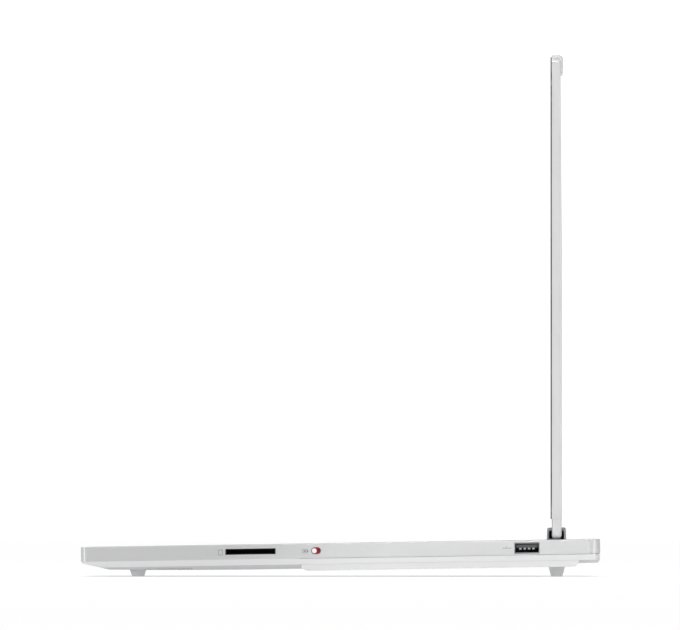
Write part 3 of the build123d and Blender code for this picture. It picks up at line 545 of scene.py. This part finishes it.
def make_keys():
    """Detailed caps with printed legends over every CAD key group."""
    for node, words in LETTER_ROWS.items():
        body = body_of_node(node)
        bm = bmesh.new()
        ink = bmesh.new()
        for (low, high), word in zip(key_order(islands(node)), words):
            add_keycap(bm, low, high)
            if word:
                size = LETTER_SIZE if len(word) == 1 else WORD_SIZE
                size = min(size, (high.y - low.y) * 0.42)
                add_word(ink, word, low.x + 2.2, high.y - size - 1.3, high.z - LEGEND_DROP, size)
        caps = mesh_piece(node + "_caps", bm, LOOKS["key_plastic"], body)
        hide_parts(node)
        if ink.verts:
            mesh_piece(node + "_legends", ink, LEGEND, body)
        else:
            ink.free()


# --------------------------------------------- small parts of the sides


CONTACT_OFFSETS = (-3.5, -1.15, 1.15, 3.5)
CONTACT_HALF = 0.6        # half a contact's width
PRINT_LIFT = 0.015        # print stands this far off the wall
PRINT_LINE = 0.28
CARD_MARK_V = 74.2
CAMERA_MARK_V = 119.0
USB_MARK_V = 226.4
MARK_W = -4.0


def add_block(bm, x_range, v_range, w_range):
    """Small block in the deck's frame, mm."""
    corners = [(v_range[0], w_range[0]), (v_range[1], w_range[0]), (v_range[1], w_range[1]),
               (v_range[0], w_range[1])]
    rings = []
    for x in x_range:
        rings.append([bm.verts.new(deck_point(x, v, w)) for v, w in corners])
    bridge(bm, rings[0], rings[1])
    bm.faces.new(list(reversed(rings[0])))
    bm.faces.new(rings[1])


def make_contacts(name, side, v_centre):
    """Four sprung contacts just under the tongue of a USB socket."""
    bm = bmesh.new()
    for offset in CONTACT_OFFSETS:
        x_range = (side * (BASE_W / 2 - 8.0), side * (BASE_W / 2 - 2.6))
        v_range = (v_centre + offset - CONTACT_HALF, v_centre + offset + CONTACT_HALF)
        add_block(bm, x_range, v_range, (USB_W - 0.75, USB_W + 0.14))
    mesh_piece(name, bm, CONTACT_METAL, "base")


def side_strokes(bm, strokes, v_origin, w_origin):
    """Thin printed bars on the right-hand wall: (v0, v1, w0, w1) from an origin."""
    x = BASE_W / 2 + PRINT_LIFT
    for v0, v1, w0, w1 in strokes:
        corners = ((v0, w0), (v1, w0), (v1, w1), (v0, w1))
        bm.faces.new([bm.verts.new(deck_point(x, v_origin + v, w_origin + w)) for v, w in corners])


def outline_strokes(width, height, line):
    """Four bars that outline a rectangle centred on the origin."""
    a, b = width / 2, height / 2
    return [(-a, a, b - line, b), (-a, a, -b, line - b), (-a, line - a, -b, b), (a - line, a, -b, b)]


def make_side_marks():
    """Generic outline marks beside the card slot, the camera switch and the USB socket."""
    bm = bmesh.new()
    side_strokes(bm, outline_strokes(2.2, 3.0, PRINT_LINE), CARD_MARK_V, MARK_W)
    camera = outline_strokes(2.4, 2.2, PRINT_LINE) + [(1.2, 1.9, -0.6, 0.6), (-0.5, 0.5, -0.5, 0.5)]
    side_strokes(bm, camera, CAMERA_MARK_V, MARK_W)
    side_strokes(bm, [(-2.4, 2.4, -0.16, 0.16), (-0.6, 0.2, 0.5, 0.8)], USB_MARK_V, MARK_W - 0.1)
    mesh_piece("side_marks", bm, SIDE_INK, "base")


# ------------------------------------------------- lights and camera

VIEW_WIDTH = 361.4 * MM    # width of the picture at the computer's right side
LENS = 1500.0
SENSOR = 36.0
PICTURE_CENTRE = Vector((BASE_W / 2 * MM, -0.25 * MM, 139.1 * MM))
EYE_HEIGHT = 26.0 * MM
EYE_AHEAD = 4.0 * MM       # the eye stands this far in front of the lid axis

FLOOR_GLOW = 0.36
SKY_LOW = 0.10             # light from near the horizon
SKY_HIGH = 1.08            # light from overhead
BACKDROP = 1.05            # what the camera sees behind the computer
TOP_POWER = 4.0            # lamp powers in watts
SIDE_POWER = 0.125
REAR_STRIP_POWER = 3.0
FRONT_STRIP_POWER = 4.5
SIDE_SPREAD = 11.0         # degrees; narrow, like a lamp behind a grid
STRIP_SIZE = (0.25, 0.6)


def make_camera():
    """Long-lens side view from the computer's right, nearly in line with the lid."""
    data = bpy.data.cameras.new("side_camera")
    data.lens = LENS
    data.sensor_width = SENSOR
    data.clip_start = 0.1
    data.clip_end = 80.0
    camera = bpy.data.objects.new("side_camera", data)
    bpy.context.scene.collection.objects.link(camera)
    distance = VIEW_WIDTH * LENS / SENSOR
    eye = Vector((PICTURE_CENTRE.x + distance, PIVOT.y - EYE_AHEAD, EYE_HEIGHT))
    camera.location = eye
    camera.rotation_euler = (PICTURE_CENTRE - eye).to_track_quat("-Z", "Y").to_euler()
    bpy.context.scene.camera = camera


def make_floor():
    """Large pale floor with a little glow of its own, so it reads as white."""
    s = Shader("pale_floor", (0.74, 0.74, 0.74), 0.9)
    s.vary_color(0.7, 0.006)
    s.bsdf.inputs["Specular IOR Level"].default_value = 0.0
    s.bsdf.inputs["Emission Color"].default_value = (1, 1, 1, 1)
    s.bsdf.inputs["Emission Strength"].default_value = FLOOR_GLOW
    bm = bmesh.new()
    bmesh.ops.create_grid(bm, x_segments=4, y_segments=4, size=45.0)
    mesh = bpy.data.meshes.new("floor")
    bm.to_mesh(mesh)
    bm.free()
    mesh.materials.append(s.material)
    floor = bpy.data.objects.new("floor", mesh)
    bpy.context.scene.collection.objects.link(floor)


def make_world():
    """White surroundings, darker near the horizon than overhead."""
    world = bpy.data.worlds.new("studio")
    bpy.context.scene.world = world
    world.use_nodes = True
    tree = world.node_tree
    background = tree.nodes["Background"]
    background.inputs["Color"].default_value = (1, 1, 1, 1)
    direction = tree.nodes.new("ShaderNodeTexCoord").outputs["Generated"]
    parts = tree.nodes.new("ShaderNodeSeparateXYZ")
    tree.links.new(direction, parts.inputs["Vector"])
    light = tree.nodes.new("ShaderNodeMapRange")
    light.interpolation_type = "SMOOTHSTEP"
    light.inputs["From Min"].default_value = 0.1
    light.inputs["From Max"].default_value = 0.8
    light.inputs["To Min"].default_value = SKY_LOW
    light.inputs["To Max"].default_value = SKY_HIGH
    tree.links.new(parts.outputs["Z"], light.inputs["Value"])
    seen = tree.nodes.new("ShaderNodeMapRange")
    seen.inputs["To Max"].default_value = BACKDROP
    path = tree.nodes.new("ShaderNodeLightPath")
    tree.links.new(path.outputs["Is Camera Ray"], seen.inputs["Value"])
    tree.links.new(light.outputs["Result"], seen.inputs["To Min"])
    tree.links.new(seen.outputs["Result"], background.inputs["Strength"])


def softbox(name, place, target, width, height, power, spread=180.0):
    """Rectangular studio light facing a target; a small spread acts as a grid."""
    data = bpy.data.lights.new(name, "AREA")
    data.shape = "RECTANGLE"
    data.size = width
    data.size_y = height
    data.energy = power
    data.spread = math.radians(spread)
    lamp = bpy.data.objects.new(name, data)
    bpy.context.scene.collection.objects.link(lamp)
    lamp.location = place
    lamp.rotation_euler = (Vector(target) - Vector(place)).to_track_quat("-Z", "Y").to_euler()
    lamp.visible_camera = False


def make_lights():
    """A soft top light, one gridded side light and a strip for each rounded corner."""
    softbox("top_softbox", (0.1, -0.1, 2.2), (0, 0, 0.1), 2.2, 2.2, TOP_POWER)
    side_place = (0.75, 0.165, 0.36)
    softbox("rear_side_softbox", side_place, (0.18, 0.165, 0.11), 0.37, 0.55, SIDE_POWER, SIDE_SPREAD)
    softbox("rear_strip", (0.95, 1.50, 0.30), (0.18, 0.138, 0.02), *STRIP_SIZE, REAR_STRIP_POWER)
    softbox("front_strip", (1.30, -1.30, 0.30), (0.18, -0.136, 0.02), *STRIP_SIZE, FRONT_STRIP_POWER)


bpy.context.scene.view_settings.view_transform = "Standard"
paint_cad_nodes()
make_keys()
make_contacts("right_usb_contacts", 1, USB_RIGHT_V)
make_contacts("left_usb_contacts", -1, USB_LEFT_V)
make_side_marks()
make_floor()
make_world()
make_lights()
make_camera()
